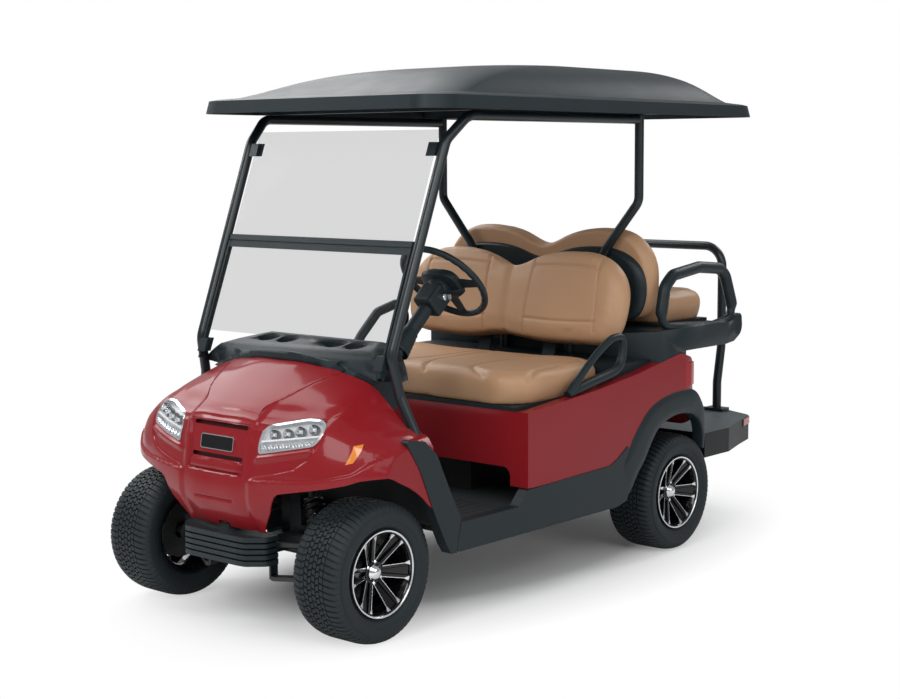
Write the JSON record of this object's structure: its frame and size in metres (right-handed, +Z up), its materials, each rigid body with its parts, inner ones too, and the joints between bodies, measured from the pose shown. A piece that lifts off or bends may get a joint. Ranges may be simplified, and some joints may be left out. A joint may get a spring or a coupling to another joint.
{
  "type": "golf cart",
  "caption": "Electric golf cart with a domed roof, a forward bench, a rear-facing flip seat and a rear footplate.",
  "frame": {"origin": "centre of the footprint, on the floor", "axes": "+Z up, +Y to the vehicle's rear, +X to its left"},
  "size_m": [1.2, 2.7299, 1.897],
  "materials": {
    "tyre_rubber": "matt black rubber",
    "rim_alloy": "gloss black with machined edges",
    "body_red": "deep red gloss",
    "seat_vinyl": "tan grained vinyl",
    "frame_coat": "black powder coat",
    "suspension_steel": "grey painted steel",
    "clear_pane": "clear acrylic sheet",
    "lamp_clear": "clear lens over bright reflectors",
    "lamp_red": "red lens",
    "battery_case": "black case",
    "roof_shell": "textured charcoal plastic",
    "floor_mat": "ribbed black mat",
    "trim_plastic": "grained slate-black plastic"
  },
  "bodies": {
    "chassis": {"battery_pack": "battery_case", "chassis_frame": "frame_coat", "dashboard": "trim_plastic", "floor_pan": "floor_mat", "footplate": "trim_plastic", "front_armrests": "trim_plastic", "front_bumper": "trim_plastic", "front_cowl": "body_red", "front_seat_back": "seat_vinyl", "front_struts": "frame_coat", "front_suspension": "suspension_steel", "grab_hoop": "frame_coat", "headlights": "lamp_clear", "pedals": "suspension_steel", "pillar_bases": "trim_plastic", "rear_axle": "frame_coat", "rear_body": "body_red", "rear_flares": "trim_plastic", "rear_seat_back": "seat_vinyl", "rear_seat_shell": "trim_plastic", "rear_seat_tray": "trim_plastic", "rear_struts": "frame_coat", "rear_suspension": "suspension_steel", "rocker_panels": "trim_plastic", "roof": "roof_shell", "seat_deck": "trim_plastic", "steering_column": "trim_plastic", "tail_lamps": "lamp_red", "windscreen_frame": "trim_plastic", "windscreen_panes": "clear_pane"},
    "knuckle_left": {"knuckle_left": "suspension_steel"},
    "knuckle_right": {"knuckle_right": "suspension_steel"},
    "wheel_front_left": {"tyre_front_left": "tyre_rubber", "rim_front_left": "rim_alloy"},
    "wheel_front_right": {"tyre_front_right": "tyre_rubber", "rim_front_right": "rim_alloy"},
    "wheel_rear_left": {"tyre_rear_left": "tyre_rubber", "rim_rear_left": "rim_alloy"},
    "wheel_rear_right": {"tyre_rear_right": "tyre_rubber", "rim_rear_right": "rim_alloy"},
    "steering_rack": {"steering_rack": "suspension_steel"},
    "steering_wheel": {"steering_wheel": "trim_plastic"},
    "front_seat_bottom": {"front_seat_cushion": "seat_vinyl", "front_seat_board": "trim_plastic"},
    "rear_seat_bottom": {"rear_seat_cushion": "seat_vinyl", "rear_seat_board": "trim_plastic"}
  },
  "joints": [
    {"name": "steer_left", "type": "hinge", "parent": "chassis", "child": "knuckle_left", "pos_m": [0.375, -1.1375, 0.23], "axis": [0, 0, 1], "range_deg": [-28, 28]},
    {"name": "steer_right", "type": "hinge", "parent": "chassis", "child": "knuckle_right", "pos_m": [-0.375, -1.1375, 0.23], "axis": [0, 0, 1], "range_deg": [-28, 28]},
    {"name": "rack_slide", "type": "slide", "parent": "chassis", "child": "steering_rack", "axis": [1, 0, 0], "range_m": [-0.034, 0.034]},
    {"name": "steering_wheel_turn", "type": "hinge", "parent": "chassis", "child": "steering_wheel", "pos_m": [0.285, -0.5325, 1.114], "axis": [0, 0.7314, 0.682], "range_deg": [-395, 395]},
    {"name": "spin_front_left", "type": "hinge", "parent": "knuckle_left", "child": "wheel_front_left", "pos_m": [0.465, -1.1375, 0.23], "axis": [1, 0, 0], "continuous": true},
    {"name": "spin_front_right", "type": "hinge", "parent": "knuckle_right", "child": "wheel_front_right", "pos_m": [-0.465, -1.1375, 0.23], "axis": [1, 0, 0], "continuous": true},
    {"name": "spin_rear_left", "type": "hinge", "parent": "chassis", "child": "wheel_rear_left", "pos_m": [0.485, 0.5265, 0.23], "axis": [1, 0, 0], "continuous": true},
    {"name": "spin_rear_right", "type": "hinge", "parent": "chassis", "child": "wheel_rear_right", "pos_m": [-0.485, 0.5265, 0.23], "axis": [1, 0, 0], "continuous": true},
    {"name": "front_seat_tilt", "type": "hinge", "parent": "chassis", "child": "front_seat_bottom", "pos_m": [0, -0.4435, 0.665], "axis": [1, 0, 0], "range_deg": [0, 45]},
    {"name": "rear_seat_flip", "type": "hinge", "parent": "chassis", "child": "rear_seat_bottom", "pos_m": [0, 0.8665, 0.883], "axis": [-1, 0, 0], "range_deg": [0, 180]}
  ],
  "couplings": [
    {"joint": "steer_right", "follows": "steer_left", "ratio": 1},
    {"joint": "rack_slide", "follows": "steer_left", "m_per_rad": -0.068},
    {"joint": "steering_wheel_turn", "follows": "steer_left", "ratio": 14}
  ]
}
